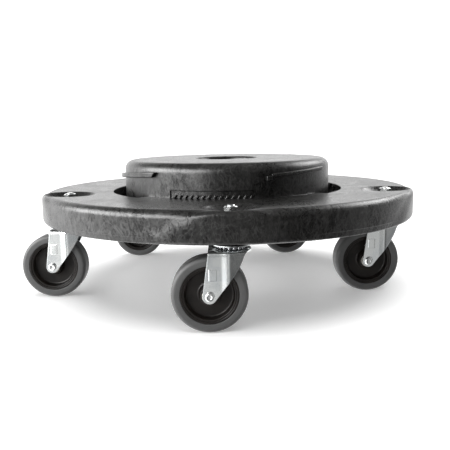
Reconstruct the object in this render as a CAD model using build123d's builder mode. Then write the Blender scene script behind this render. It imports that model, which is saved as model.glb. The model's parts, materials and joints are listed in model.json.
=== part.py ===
from build123d import *
import os
from math import acos, atan2, cos, hypot, radians, sin, tan

# A round twist-lock dolly: a moulded platform with a raised drum, carried by five
# bolted swivel casters.  Millimetres, +Z up, the origin on the floor under the drum's
# axis.  Azimuths are degrees from the front (-Y), positive towards +X.

# ---------------------------------------------------------------- driving dimensions
# Platform
rim_radius = 231.8          # over the caster pads
wall_radius = 229.8         # between the pads
skin = 7.0                  # moulded wall and deck thickness
rim_bottom = 91.0
deck_edge_height = 124.0
deck_foot_height = 122.2    # the deck falls slightly towards the drum
rim_round = 9.0
rim_foot_height = 6.5       # a leaning band round the foot of the rim
rim_foot_lean = 1.3
drum_radius = 130.1
drum_top = 160.8
drum_round = 11.0
drum_foot_round = 1.5
drum_inner_round = 5.0
centre_hole_radius = 38.0
centre_hole_round = 4.0
centre_collar_depth = 14.8
rib_thickness = 4.0
rib_bottom = 97.0
drum_rib_bottom = 141.0

# Windows through the deck beside the drum
window_outer_radius = 146.0
window_spans = [(-115.0, -45.0), (51.0, 121.0)]
window_flange = 4.5
window_flange_bottom = 101.0
window_corner = 4.0

# Twist-lock lugs on the drum wall
lug_reach = 5.0             # how far a lug stands out of the wall
lug_wall_bite = 2.0         # how deep its root lies in the wall
lug_spare_turn = 4.0        # degrees of spare arc at each end, trimmed by the outline
lug_spare_height = 1.0
lug_slope = 0.12            # rise in mm for each degree of turn
plain_lug_azimuth = -82.0   # its low end
plain_lug_arc = 44.0
plain_lug_bottom = 139.8
plain_lug_height = 5.6
plain_lug_end_lean = 4.6
stop_lug_azimuth = 20.4
stop_lug_arc = 35.0
stop_lug_bottom = 144.3
stop_lug_height = 4.2
stop_lug_end_lean = 2.0
stop_block_turn = -1.3      # degrees from its lug's low end
stop_block_width = 6.6
stop_block_bottom = 140.8
stop_block_height = 5.6
stop_block_round = 0.8
stop_block_extra_reach = 0.4

# Ratchet teeth in a shallow recess at the drum's foot
tooth_recess_span = (-30.2, 12.4)
tooth_recess_top = 130.6
tooth_recess_depth = 1.6
tooth_count = 14
tooth_pitch = 2.95          # degrees
tooth_first_azimuth = -28.2
tooth_width = 2.8
tooth_height = 4.0
tooth_lean = 2.6
tooth_reach = 2.6

# Caster stations
station_count = 5
station_radius = 198.8
pad_top_radius = 41.0
pad_bottom_radius = 95.0
pad_bottom_round = 5.0
pad_top_round = 6.0
boss_radius = 25.0
nose_top_radius = 17.0
nose_radius = 12.0
nose_bottom = 89.0
dish_radius = 30.4
dish_floor_radius = 13.0
dish_floor = 116.0
dish_rise = 0.4             # how far the dish's outline runs on above the deck
bolt_radius = 3.97
bolt_hole_radius = 4.2
bolt_end = 125.3
nut_across_flats = 12.7
nut_height = 6.7
nut_bore_radius = 4.0
nut_first_turn = 20         # degrees; each nut stopped at its own angle
nut_turn_step = 17
nut_crown_width = 1.6
nut_crown_height = 1.1
nut_washer_radius = 9.0
nut_washer_thickness = 1.5

# Swivel head
cup_radius = 19.8
cup_thickness = 1.5
cup_inner_drop = 1.1
cup_rim_height = 88.2       # top of the cup at its rim
cup_lip_bottom = 85.7
crown_radius = 17.3
crown_lip_width = 1.0
crown_bottom = 80.9
crown_top = 83.0
crown_lip_top = 84.2
crown_dome_top = 86.1
crown_dome_bottom = 84.1
dome_foot_radius = 11.6
dome_top_radius = 9.0
dome_wall_offset = 0.6
crown_bore_radius = 4.03
thrust_washer_radius = 8.6
thrust_washer_thickness = 1.2
thrust_clearance = 0.15
bolt_head_radius = 6.4
bolt_head_height = 4.2
bolt_head_chamfer = 1.0
bolt_end_chamfer = 0.8
ball_radius = 2.1
ball_circle_radius = 14.0
ball_clearance = 0.05
ball_count = 18

# Fork
trail = 22.2
leg_outer = 17.4            # half the width over the legs
leg_thickness = 2.0
leg_flank_x = -10.4         # where the leg starts to swell outwards
leg_fold_x = -3.4           # where it folds in towards the swivel
leg_swell = 0.8
leg_fold_angle = 19.0
leg_fold_radius = 9.0
leg_lead_x = 18.7
plate_inset = 0.5           # the crown plate's edge lies this far inside the legs' faces
leg_foot_radius = 6.8
leg_rear_top_x = -22.8
leg_lead_edge = [(0.6, 56.5), (4.9, 62.9), (8.2, 68.6), (10.2, 72.8), (11.7, 77.0), (13.8, 80.3)]
mark_size = (7.9, 11.4)
mark_height = 0.5
mark_centre = (-18.9, 59.6)
mark_round = 0.6
axle_slot_radius = 4.4      # an easing slot that runs into the axle hole
axle_slot_offset = (0.6, 1.5)

# Wheel and axle
wheel_radius = 38.1
tyre_half_width = 12.0
tyre_shoulder = 4.5
tyre_inner_round = 0.5
tyre_bond_radius = 29.2
tyre_key_radius = 27.2
tyre_key_half_width = 4.0
core_lip_half_width = 11.4
core_step_radius = 27.0
hub_edge_chamfer = 0.8
hub_root_flare = 1.2        # how much wider the hub is where its root begins
hub_root_rise = 1.5
hub_root_run = 2.7
core_dish_root_run = 2.5
core_dish_root_rise = 2.0
core_dish_lean = 0.6
core_step_chamfer = 0.8
core_step_lean = 0.4
core_step_half_width = 10.4
core_dish_radius = 24.6
core_web_half_width = 3.2
hub_radius = 10.5
hub_half_length = 14.0
bush_outer_radius = 7.5
bush_bore_radius = 5.55
sleeve_outer_radius = 5.5
sleeve_bore_radius = 4.0
sleeve_half_length = 15.3
axle_radius = 3.95
axle_head_radius = 4.3
axle_head_chamfer = 0.5
axle_head_thickness = 1.3
axle_dimple_radius = 2.2
axle_dimple_depth = 0.5
side_washer_inner = 5.6
side_washer_radius = 6.6
side_washer_faces = (14.2, 15.2)

# ---------------------------------------------------------------- worked-out values
station_turn = 360 / station_count
stations = [
    (
        station_radius * sin(radians(n * station_turn)),
        -station_radius * cos(radians(n * station_turn)),
    )
    for n in range(station_count)
]
front_angle = -90           # polar angle of azimuth 0
axle_height = wheel_radius
nut_bottom = dish_floor + nut_washer_thickness
cup_top = nose_bottom


def write(part, name):
    part.label = name
    export_step(part, f"parts/{name}.step")


def ring_sector(inner, outer, start_azimuth, end_azimuth):
    """An annular sector about the origin."""
    sweep_angle = end_azimuth - start_azimuth
    with BuildSketch() as sector:
        with BuildLine():
            outside = CenterArc((0, 0), outer, front_angle + start_azimuth, sweep_angle)
            inside = CenterArc((0, 0), inner, front_angle + start_azimuth, sweep_angle)
            Line(outside @ 0, inside @ 0)
            Line(outside @ 1, inside @ 1)
        make_face()
    return sector.sketch


def wall_plane(azimuth, height=0):
    """A plane through the drum's axis that faces outwards at an azimuth: x runs along
    the wall towards +azimuth, y is up."""
    a = radians(azimuth)
    return Plane(origin=(0, 0, height), x_dir=(cos(a), sin(a), 0), z_dir=(sin(a), -cos(a), 0))


def tangent_point(centre, radius, outside, side):
    """Where the line from a point outside a circle touches it; side is +1 or -1."""
    dx = outside[0] - centre[0]
    dy = outside[1] - centre[1]
    angle = atan2(dy, dx) + side * acos(radius / hypot(dx, dy))
    return (centre[0] + radius * cos(angle), centre[1] + radius * sin(angle))


def nearest_vertex(sketch, x, y):
    return sketch.vertices().sort_by_distance((x, y, 0))[0]


# ---------------------------------------------------------------- lugs and teeth
def make_lug(azimuth, arc, bottom, height, end_lean):
    """One helical lug: an arc of flange whose outline slopes up with azimuth, with its
    high end cut to lean outwards at the top."""
    middle = azimuth + arc / 2
    outer = drum_radius + lug_reach
    half_run = outer * sin(radians(arc / 2))
    rise = lug_slope * arc
    with BuildPart() as lug:
        with BuildSketch(Plane.XY.offset(bottom - lug_spare_height)):
            add(ring_sector(drum_radius - lug_wall_bite, outer, azimuth - lug_spare_turn,
                            azimuth + arc + lug_spare_turn))
        extrude(amount=height + rise + 2 * lug_spare_height)
        with BuildSketch(wall_plane(middle)):
            with BuildLine():
                Polyline(
                    (-half_run, bottom),
                    (half_run - end_lean, bottom + rise),
                    (half_run, bottom + rise + height),
                    (-half_run, bottom + height),
                    close=True,
                )
            make_face()
        extrude(amount=drum_radius + 2 * lug_reach, mode=Mode.INTERSECT)
    return lug.part


plain_lug = make_lug(plain_lug_azimuth, plain_lug_arc, plain_lug_bottom, plain_lug_height,
                    plain_lug_end_lean)
stop_lug = make_lug(stop_lug_azimuth, stop_lug_arc, stop_lug_bottom, stop_lug_height,
                   stop_lug_end_lean)

stop_azimuth = stop_lug_azimuth + stop_block_turn
with BuildPart() as stop_block:
    with BuildSketch(wall_plane(stop_azimuth).offset(drum_radius - lug_wall_bite)):
        with Locations((0, stop_block_bottom + stop_block_height / 2)):
            RectangleRounded(stop_block_width, stop_block_height, stop_block_round)
    extrude(amount=lug_wall_bite + lug_reach + stop_block_extra_reach)

with BuildPart() as teeth:
    for n in range(tooth_count):
        tooth_plane = wall_plane(tooth_first_azimuth + n * tooth_pitch)
        with BuildSketch(tooth_plane.offset(drum_radius - skin / 2)):
            with BuildLine():
                Polyline(
                    (-tooth_width / 2, deck_foot_height - 2),
                    (tooth_width / 2, deck_foot_height - 2),
                    (tooth_width / 2 + tooth_lean, deck_foot_height + tooth_height),
                    (-tooth_width / 2 + tooth_lean, deck_foot_height + tooth_height),
                    close=True,
                )
            make_face()
        extrude(amount=skin / 2 - tooth_recess_depth + tooth_reach)

# ---------------------------------------------------------------- caster pads
# A pad is the part of the rim that a flaring cone about the station's axis takes in.
pad_height = deck_edge_height - rim_bottom
front_station = stations[0]

with BuildPart() as pad:
    with Locations((front_station[0], front_station[1], rim_bottom)):
        Cone(pad_bottom_radius, pad_top_radius, pad_height, align=(Align.CENTER, Align.CENTER, Align.MIN))
    with BuildSketch(Plane.XZ) as pad_section:
        with BuildLine():
            Polyline(
                (wall_radius - skin, rim_bottom),
                (rim_radius, rim_bottom),
                (rim_radius, deck_edge_height),
                (wall_radius - skin, deck_edge_height),
                close=True,
            )
        make_face()
        fillet(nearest_vertex(pad_section, rim_radius, rim_bottom), pad_bottom_round)
        fillet(nearest_vertex(pad_section, rim_radius, deck_edge_height), pad_top_round)
    revolve(axis=Axis.Z, mode=Mode.INTERSECT)

with BuildPart() as pad_undercut:
    with Locations((front_station[0], front_station[1], rim_bottom)):
        Cone(pad_bottom_radius, pad_top_radius, pad_height, align=(Align.CENTER, Align.CENTER, Align.MIN))
    with BuildSketch(Plane.XZ):
        with BuildLine():
            corner_arc = CenterArc(
                (rim_radius - pad_bottom_round, rim_bottom + pad_bottom_round), pad_bottom_round, -90, 90
            )
            Polyline(corner_arc @ 1, (rim_radius + 2, rim_bottom + pad_bottom_round),
                     (rim_radius + 2, rim_bottom - 2), (rim_radius - pad_bottom_round, rim_bottom - 2),
                     corner_arc @ 0)
        make_face()
    revolve(axis=Axis.Z, mode=Mode.INTERSECT)

# ---------------------------------------------------------------- platform
deck_slope = (deck_edge_height - deck_foot_height) / (wall_radius - drum_radius)

with BuildPart() as platform:
    # The moulded skin: drum, deck and rim, with a skirt that carries the drum wall down.
    with BuildSketch(Plane.XZ) as skin_section:
        with BuildLine():
            Polyline(
                (centre_hole_radius, drum_top),
                (drum_radius, drum_top),
                (drum_radius, deck_foot_height),
                (wall_radius, deck_edge_height),
                (wall_radius, rim_bottom + rim_foot_height),
                (wall_radius - rim_foot_lean, rim_bottom),
                (wall_radius - skin, rim_bottom),
                (wall_radius - skin, deck_edge_height - deck_slope * skin - skin),
                (drum_radius, deck_foot_height - skin),
                (drum_radius, rim_bottom),
                (drum_radius - skin, rim_bottom),
                (drum_radius - skin, drum_top - skin),
                (centre_hole_radius + skin, drum_top - skin),
                (centre_hole_radius + skin, drum_top - centre_collar_depth),
                (centre_hole_radius, drum_top - centre_collar_depth),
                close=True,
            )
        make_face()
        fillet(nearest_vertex(skin_section, drum_radius, drum_top), drum_round)
        fillet(nearest_vertex(skin_section, wall_radius, deck_edge_height), rim_round)
        fillet(nearest_vertex(skin_section, centre_hole_radius, drum_top), centre_hole_round)
        fillet(nearest_vertex(skin_section, drum_radius, deck_foot_height), drum_foot_round)
        fillet(nearest_vertex(skin_section, drum_radius - skin, drum_top - skin), drum_inner_round)
    revolve(axis=Axis.Z)

    # Ribs under the deck and inside the drum
    rib_inner = drum_radius - skin / 2
    rib_outer = wall_radius - skin / 2
    rib_top = deck_foot_height - skin / 2
    with PolarLocations((rib_inner + rib_outer) / 2, 3 * station_count, start_angle=front_angle):
        with Locations((0, 0, (rib_bottom + rib_top) / 2)):
            Box(rib_outer - rib_inner, rib_thickness, rib_top - rib_bottom)
    drum_rib_inner = centre_hole_radius + skin / 2
    drum_rib_top = drum_top - skin / 2
    with PolarLocations((drum_rib_inner + rib_inner) / 2, 2 * station_count, start_angle=front_angle):
        with Locations((0, 0, (drum_rib_bottom + drum_rib_top) / 2)):
            Box(rib_inner - drum_rib_inner, rib_thickness, drum_rib_top - drum_rib_bottom)

    # Windows beside the drum, each with a flange round its outer edge
    for start_azimuth, end_azimuth in window_spans:
        with BuildSketch(Plane.XY.offset(window_flange_bottom)):
            flange_outer = window_outer_radius + window_flange
            add(ring_sector(drum_radius - 1, flange_outer, start_azimuth - 2, end_azimuth + 2))
        extrude(amount=rib_top - window_flange_bottom)
    for start_azimuth, end_azimuth in window_spans:
        with BuildSketch(Plane.XY.offset(rim_bottom - 1)) as window:
            add(ring_sector(drum_radius, window_outer_radius, start_azimuth, end_azimuth))
            outer_corners = window.vertices().sort_by_distance((0, 0, 0))[2:]
            fillet(outer_corners, window_corner)
        extrude(amount=deck_edge_height - rim_bottom + 2, mode=Mode.SUBTRACT)

    # Caster pads, bosses and noses
    for n in range(station_count):
        with Locations(Location((0, 0, 0), (0, 0, n * station_turn))):
            add(pad.part)
            add(pad_undercut.part, mode=Mode.SUBTRACT)
    with Locations(*[(x, y, rim_bottom) for x, y in stations]):
        Cylinder(boss_radius, rib_top - rim_bottom, align=(Align.CENTER, Align.CENTER, Align.MIN))
    with Locations(*[(x, y, nose_bottom) for x, y in stations]):
        Cone(nose_radius, nose_top_radius, rim_bottom - nose_bottom + 1,
             align=(Align.CENTER, Align.CENTER, Align.MIN))

    # Dished nut seats and bolt holes
    for x, y in stations:
        with BuildSketch(Plane(origin=(x, y, 0), x_dir=(1, 0, 0), z_dir=(0, -1, 0))):
            with BuildLine():
                seat = Line((0, dish_floor), (dish_floor_radius, dish_floor))
                flank = TangentArc(seat @ 1, (dish_radius, deck_edge_height + dish_rise), tangent=(1, 0))
                Polyline(flank @ 1, (dish_radius, drum_top), (0, drum_top), (0, dish_floor))
            make_face()
        revolve(axis=Axis((x, y, 0), (0, 0, 1)), mode=Mode.SUBTRACT)
    with Locations(*[(x, y, 0) for x, y in stations]):
        Cylinder(bolt_hole_radius, drum_top, align=(Align.CENTER, Align.CENTER, Align.MIN),
                 mode=Mode.SUBTRACT)

    # Ratchet recess, teeth and lugs on the drum wall
    with BuildSketch(Plane.XY.offset(deck_foot_height)):
        add(ring_sector(drum_radius - tooth_recess_depth, drum_radius + 3, *tooth_recess_span))
    extrude(amount=tooth_recess_top - deck_foot_height, mode=Mode.SUBTRACT)
    add(teeth.part)
    for half_turn in (0, 180):
        with Locations(Location((0, 0, 0), (0, 0, half_turn))):
            add(plain_lug)
            add(stop_lug)
            add(stop_block.part)

# ---------------------------------------------------------------- fixed hardware
with BuildPart() as king_bolts:
    head_top = crown_dome_bottom - thrust_washer_thickness - thrust_clearance
    for x, y in stations:
        with BuildSketch(Plane.XY.offset(head_top - bolt_head_height)):
            with Locations((x, y)):
                Circle(bolt_head_radius)
        extrude(amount=bolt_head_height)
        with BuildSketch(Plane.XY.offset(head_top)):
            with Locations((x, y)):
                Circle(bolt_radius)
        extrude(amount=bolt_end - head_top)
    chamfer(king_bolts.faces().filter_by(Axis.Z).group_by(Axis.Z)[-1].edges(), bolt_end_chamfer)
    chamfer(king_bolts.faces().filter_by(Axis.Z).group_by(Axis.Z)[0].edges(), bolt_head_chamfer)

with BuildPart() as hex_nuts:
    nut_corner_radius = nut_across_flats / 2 / cos(radians(30))
    for n, (x, y) in enumerate(stations):
        with BuildSketch(Plane.XY.offset(nut_bottom)):
            with Locations((x, y)):
                nut_turn = nut_first_turn + nut_turn_step * n
                RegularPolygon(nut_across_flats / 2, 6, major_radius=False, rotation=nut_turn)
                Circle(nut_bore_radius, mode=Mode.SUBTRACT)
        extrude(amount=nut_height)
    with BuildSketch(Plane.XZ):
        with BuildLine():
            Polyline(
                (0, nut_bottom),
                (nut_corner_radius, nut_bottom),
                (nut_corner_radius, nut_bottom + nut_height - nut_crown_height),
                (nut_corner_radius - nut_crown_width, nut_bottom + nut_height),
                (0, nut_bottom + nut_height),
                close=True,
            )
        make_face()
    chamfer_blank = revolve(axis=Axis.Z, mode=Mode.PRIVATE)
    blanks = Part() + [chamfer_blank.moved(Location((x, y, 0))) for x, y in stations]
    add(blanks, mode=Mode.INTERSECT)

with BuildPart() as nut_washers:
    with BuildSketch(Plane.XY.offset(dish_floor)):
        with Locations(*stations):
            Circle(nut_washer_radius)
            Circle(bolt_hole_radius, mode=Mode.SUBTRACT)
    extrude(amount=nut_washer_thickness)

with BuildPart() as thrust_washers:
    with BuildSketch(Plane.XY.offset(head_top)):
        with Locations(*stations):
            Circle(thrust_washer_radius)
            Circle(nut_bore_radius, mode=Mode.SUBTRACT)
    extrude(amount=thrust_washer_thickness)

with BuildPart() as race_cups:
    for x, y in stations:
        with BuildSketch(Plane(origin=(x, y, 0), x_dir=(1, 0, 0), z_dir=(0, -1, 0))):
            with BuildLine():
                Polyline(
                    (bolt_hole_radius, cup_top),
                    (nose_radius, cup_top),
                    (cup_radius, cup_rim_height),
                    (cup_radius, cup_lip_bottom),
                    (cup_radius - cup_thickness, cup_lip_bottom),
                    (cup_radius - cup_thickness, cup_rim_height - cup_inner_drop),
                    (nose_radius, cup_top - cup_thickness),
                    (bolt_hole_radius, cup_top - cup_thickness),
                    close=True,
                )
            make_face()
        revolve(axis=Axis((x, y, 0), (0, 0, 1)))

# ---------------------------------------------------------------- caster, about its swivel axis
axle_centre = (-trail, axle_height)

with BuildPart() as fork:
    # Legs: a strip seen from above that swells and then folds in, trimmed to the leg's
    # outline seen from the side
    leg_line_y = -(leg_outer - leg_thickness / 2)
    fold_line_y = leg_line_y - leg_swell
    fold_slope = tan(radians(leg_fold_angle))
    lead_line_y = fold_line_y + (leg_lead_x + 1 - leg_fold_x) * fold_slope
    for side in (1, -1):
        with BuildSketch(Plane.XY.offset(axle_height - leg_foot_radius - 1)):
            with BuildLine():
                FilletPolyline(
                    (-trail - leg_foot_radius - 2, side * leg_line_y),
                    (leg_flank_x, side * leg_line_y),
                    (leg_fold_x, side * fold_line_y),
                    (leg_lead_x + 1, side * lead_line_y),
                    radius=leg_fold_radius,
                )
            trace(line_width=leg_thickness)
        extrude(amount=crown_top - axle_height + leg_foot_radius + 1)
    rear_top = (leg_rear_top_x, crown_top + 1)
    with BuildSketch(Plane.XZ):
        with BuildLine():
            Polyline(
                axle_centre,
                tangent_point(axle_centre, leg_foot_radius, rear_top, 1),
                rear_top,
                (leg_lead_x, crown_top + 1),
                (leg_lead_x, crown_top - 1),
                *reversed(leg_lead_edge),
                tangent_point(axle_centre, leg_foot_radius, leg_lead_edge[0], -1),
                close=True,
            )
        make_face()
        with Locations(axle_centre):
            Circle(leg_foot_radius)
    extrude(amount=leg_outer + 5, both=True, mode=Mode.INTERSECT)

    # Crown: a bridge between the legs and a round ball seat with a domed middle
    with BuildSketch(Plane.XY.offset(crown_bottom)):
        rear_half = leg_outer - plate_inset
        fold_half = rear_half + leg_swell
        lead_half = fold_half - (leg_lead_x - leg_fold_x) * fold_slope
        with BuildLine():
            Polyline(
                (leg_rear_top_x, -rear_half),
                (leg_flank_x, -rear_half),
                (leg_fold_x, -fold_half),
                (leg_lead_x, -lead_half),
                (leg_lead_x, lead_half),
                (leg_fold_x, fold_half),
                (leg_flank_x, rear_half),
                (leg_rear_top_x, rear_half),
                close=True,
            )
        make_face()
        Circle(dome_foot_radius, mode=Mode.SUBTRACT)
    extrude(amount=crown_top - crown_bottom)
    with BuildSketch(Plane.XZ):
        with BuildLine():
            Polyline(
                (crown_bore_radius, crown_dome_top),
                (dome_top_radius, crown_dome_top),
                (dome_foot_radius, crown_top),
                (crown_radius - crown_lip_width, crown_top),
                (crown_radius - crown_lip_width, crown_lip_top),
                (crown_radius, crown_lip_top),
                (crown_radius, crown_bottom),
                (dome_foot_radius + dome_wall_offset, crown_bottom),
                (dome_top_radius + dome_wall_offset, crown_dome_bottom),
                (crown_bore_radius, crown_dome_bottom),
                close=True,
            )
        make_face()
    revolve(axis=Axis.Z)

    # Maker's pad, left plain, on one leg
    with BuildSketch(Plane.XZ.offset(leg_outer)):
        with Locations(mark_centre):
            RectangleRounded(*mark_size, mark_round)
    extrude(amount=mark_height)

    # Axle holes, each eased by a slot that runs into it
    with BuildSketch(Plane.XZ):
        with Locations(axle_centre):
            Circle(sleeve_bore_radius)
        slot_x = axle_centre[0] + axle_slot_offset[0]
        slot_y = axle_centre[1] + axle_slot_offset[1]
        with Locations((slot_x, slot_y)):
            Circle(axle_slot_radius)
    extrude(amount=leg_outer + 2, both=True, mode=Mode.SUBTRACT)

with BuildPart() as balls:
    ball_height = crown_top + ball_radius + ball_clearance
    with PolarLocations(ball_circle_radius, ball_count):
        with Locations((0, 0, ball_height)):
            Sphere(ball_radius)

# Pieces on the axle are drawn on a plane across it, centred on the wheel.
wheel_plane = Plane(origin=(-trail, 0, axle_height), x_dir=(1, 0, 0), z_dir=(0, -1, 0))


def tube(inner, outer, start, end):
    """A ring, or a disc where inner is 0, between two distances along the axle."""
    with BuildPart() as ring:
        with BuildSketch(wheel_plane.offset(start)):
            Circle(outer)
            if inner > 0:
                Circle(inner, mode=Mode.SUBTRACT)
        extrude(amount=end - start)
    return ring.part


with BuildPart() as axle:
    add(tube(0, axle_radius, -leg_outer, leg_outer))
    add(tube(0, axle_head_radius, leg_outer, leg_outer + axle_head_thickness))
    add(tube(0, axle_head_radius, -leg_outer - axle_head_thickness, -leg_outer))
    chamfer(axle.faces().filter_by(Axis.Y).group_by(Axis.Y)[0].edges(), axle_head_chamfer)
    chamfer(axle.faces().filter_by(Axis.Y).group_by(Axis.Y)[-1].edges(), axle_head_chamfer)
    for end in (wheel_plane.offset(leg_outer + axle_head_thickness),
                wheel_plane.offset(-leg_outer - axle_head_thickness)):
        with BuildSketch(end):
            Circle(axle_dimple_radius)
        extrude(amount=axle_dimple_depth, both=True, mode=Mode.SUBTRACT)

with BuildPart() as sleeve:
    add(tube(sleeve_bore_radius, sleeve_outer_radius, -sleeve_half_length, sleeve_half_length))

with BuildPart() as side_washers:
    add(tube(side_washer_inner, side_washer_radius, side_washer_faces[0], side_washer_faces[1]))
    add(tube(side_washer_inner, side_washer_radius, -side_washer_faces[1], -side_washer_faces[0]))

with BuildPart() as bush:
    add(tube(bush_bore_radius, bush_outer_radius, -hub_half_length, hub_half_length))

# The wheel's sections are drawn on the XY plane through the axle: x is the radius from
# the axle, y the distance along it.
section_plane = Plane(origin=(-trail, 0, axle_height), x_dir=(1, 0, 0), z_dir=(0, 0, 1))
axle_line = Axis((-trail, 0, axle_height), (0, 1, 0))

with BuildPart() as wheel_core:
    with BuildSketch(section_plane):
        with BuildLine():
            half = [
                (bush_outer_radius, hub_half_length),
                (hub_radius - hub_edge_chamfer, hub_half_length),
                (hub_radius, hub_half_length - hub_edge_chamfer),
                (hub_radius + hub_root_flare, core_web_half_width + hub_root_rise),
                (hub_radius + hub_root_run, core_web_half_width),
                (core_dish_radius - core_dish_root_run, core_web_half_width),
                (core_dish_radius - core_dish_lean, core_web_half_width + core_dish_root_rise),
                (core_dish_radius, core_step_half_width - core_step_chamfer),
                (core_dish_radius + core_step_chamfer, core_step_half_width),
                (core_step_radius - core_step_lean, core_step_half_width),
                (core_step_radius, core_lip_half_width),
                (tyre_bond_radius, core_lip_half_width),
                (tyre_bond_radius, tyre_key_half_width),
                (tyre_key_radius, tyre_key_half_width),
            ]
            Polyline(*half, *[(x, -y) for x, y in reversed(half)], close=True)
        make_face()
    revolve(axis=axle_line)

with BuildPart() as tyre:
    with BuildSketch(section_plane) as tyre_section:
        with BuildLine():
            half = [
                (wheel_radius, tyre_half_width),
                (tyre_bond_radius, tyre_half_width),
                (tyre_bond_radius, tyre_key_half_width),
                (tyre_key_radius, tyre_key_half_width),
            ]
            Polyline(*half, *[(x, -y) for x, y in reversed(half)], close=True)
        make_face()
        for end in (1, -1):
            fillet(nearest_vertex(tyre_section, wheel_radius, end * tyre_half_width), tyre_shoulder)
            fillet(nearest_vertex(tyre_section, tyre_bond_radius, end * tyre_half_width), tyre_inner_round)
    revolve(axis=axle_line)

# ---------------------------------------------------------------- files
os.makedirs("parts", exist_ok=True)
write(platform.part, "platform")
write(king_bolts.part, "king_bolts")
write(hex_nuts.part, "hex_nuts")
write(nut_washers.part, "nut_washers")
write(thrust_washers.part, "thrust_washers")
write(race_cups.part, "race_cups")

caster_pieces = {
    "fork": fork,
    "swivel_balls": balls,
    "axle": axle,
    "axle_sleeve": sleeve,
    "side_washers": side_washers,
    "wheel_core": wheel_core,
    "tyre": tyre,
    "wheel_bush": bush,
}
for n, (x, y) in enumerate(stations):
    for piece_name, piece in caster_pieces.items():
        write(piece.part.moved(Location((x, y, 0))), f"{piece_name}_{n + 1}")
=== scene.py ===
import json
from math import acos, atan2, cos, hypot, pi, radians, sin, sqrt, tan

import bmesh
import bpy
from mathutils import Matrix, Vector


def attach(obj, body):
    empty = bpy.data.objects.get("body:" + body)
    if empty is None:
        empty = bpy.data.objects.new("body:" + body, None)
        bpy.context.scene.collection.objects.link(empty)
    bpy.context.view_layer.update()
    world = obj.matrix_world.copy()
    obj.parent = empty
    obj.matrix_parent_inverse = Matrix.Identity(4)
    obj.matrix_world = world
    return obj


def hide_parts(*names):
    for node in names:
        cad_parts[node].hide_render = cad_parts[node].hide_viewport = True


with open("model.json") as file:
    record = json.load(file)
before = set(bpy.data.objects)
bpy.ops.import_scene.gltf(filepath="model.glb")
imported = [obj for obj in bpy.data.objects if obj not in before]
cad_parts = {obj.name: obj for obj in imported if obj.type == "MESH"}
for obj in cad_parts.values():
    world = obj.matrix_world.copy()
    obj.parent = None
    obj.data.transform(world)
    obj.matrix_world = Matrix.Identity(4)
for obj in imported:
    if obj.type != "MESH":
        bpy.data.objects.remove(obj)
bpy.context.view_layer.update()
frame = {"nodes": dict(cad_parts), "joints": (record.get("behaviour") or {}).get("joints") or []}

# The looks of a round twist-lock dolly, built round its CAD frame.  Sizes are in
# millimetres, and MM makes them metres; azimuths are degrees from the front (-Y),
# positive towards +X, as in the CAD.
MM = 0.001

# ---------------------------------------------------------------- sizes
station_count = 5
stations = [frame["joints"][2 * n]["pos_m"] for n in range(station_count)]
station_radius = hypot(stations[0][0], stations[0][1]) / MM
station_azimuths = [n * 360 / station_count for n in range(station_count)]

# Platform
rim_radius = 231.8
wall_radius = 229.8
inner_radius = 222.8
rim_bottom = 91.0
deck_edge_height = 124.0
deck_foot_height = 122.2
deck_under_edge = 116.8
deck_under_foot = 115.2
drum_radius = 130.1
drum_top = 160.8
drum_round = 11.0
drum_inner_radius = 123.1
drum_under = 153.8
drum_inner_round = 5.0
hole_radius = 38.0
hole_round = 4.0
collar_radius = 45.0
collar_bottom = 146.0
collar_chamfer = 0.6
foot_round = 0.3
rim_round = 9.0
rim_bottom_round = 1.8
under_round = 1.5
skirt_round = 1.0
pad_top_round = 6.2
pad_bottom_round = 5.0
rim_foot_height = 6.5
rim_foot_lean = 1.3
dish_radius = 30.4
dish_floor_radius = 13.0
dish_floor = 116.0
dish_lip_height = 124.4
dish_edge_softness = 0.7
dish_thickness = 2.0
dish_blend_reach = 4.0

window_spans = [(-115.0, -45.0), (51.0, 121.0)]
window_outer_radius = 146.0
window_corner = 4.0
window_flange = 4.5
window_flange_bottom = 101.0
window_flange_sink = 1.2
window_end_arc = 2.0
window_edge_drop = 0.6

recess_span = (-30.2, 12.4)
recess_top = 130.6
recess_depth = 1.6
recess_lip_height = 0.55
recess_lip_depth = 0.5
tooth_count = 14
tooth_pitch = 2.95
tooth_first_azimuth = -28.2
tooth_width = 2.8
tooth_height = 4.0
tooth_lean = 2.6
tooth_outer_radius = 131.1
tooth_root_radius = drum_radius - 3.5
tooth_sink = 0.5

lug_reach = 5.0
lug_root_radius = drum_radius - 2.0
lug_slope = 0.12
plain_lug = {"azimuth": -82.0, "arc": 44.0, "bottom": 139.8, "height": 5.6, "lean": 4.6}
stop_lug = {"azimuth": 20.4, "arc": 35.0, "bottom": 144.3, "height": 4.2, "lean": 2.0}
stop_block_size = (6.6, 7.4, 5.6)
stop_block_bottom = 140.8
stop_block_turn = -1.3

# Ribs and bosses under the platform
rib_count = 3 * station_count
rib_thickness = 4.0
rib_bottom = 97.0
rib_top = 118.0
rib_sink = 3.0
rib_sink_in_boss = 2.0
drum_rib_count = 2 * station_count
drum_rib_bottom = 141.0
drum_rib_top = 157.0
boss_radius = 25.0
boss_bore_radius = 0.5
boss_top = 115.2
boss_top_edge = 117.6
nose_radius = 12.0
nose_root_radius = 16.2
nose_bottom = 89.0

# Caster
trail = 22.2
axle_height = 38.1
leg_outer = 17.4
leg_thickness = 2.0
leg_foot_radius = 6.8
leg_rear_x = -22.8
fork_top = 83.0
shoulder_radius = 4.8
fork_slot_radius = 4.4
fork_slot_ahead = 0.6
fork_slot_above = 1.5
crown_bore = 12.3
king_bore_radius = 4.03
cup_bore_radius = 4.2
cup_radius = 19.8
cup_rim_height = 88.2
cup_lip_bottom = 86.7
cup_lip_inner_radius = 18.4
cup_under = 87.5
tyre_radius = 38.08
tyre_half_width = 12.0
tyre_shoulder = 4.3
tyre_bond_radius = 29.2

# ---------------------------------------------------------------- mesh helpers


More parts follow.
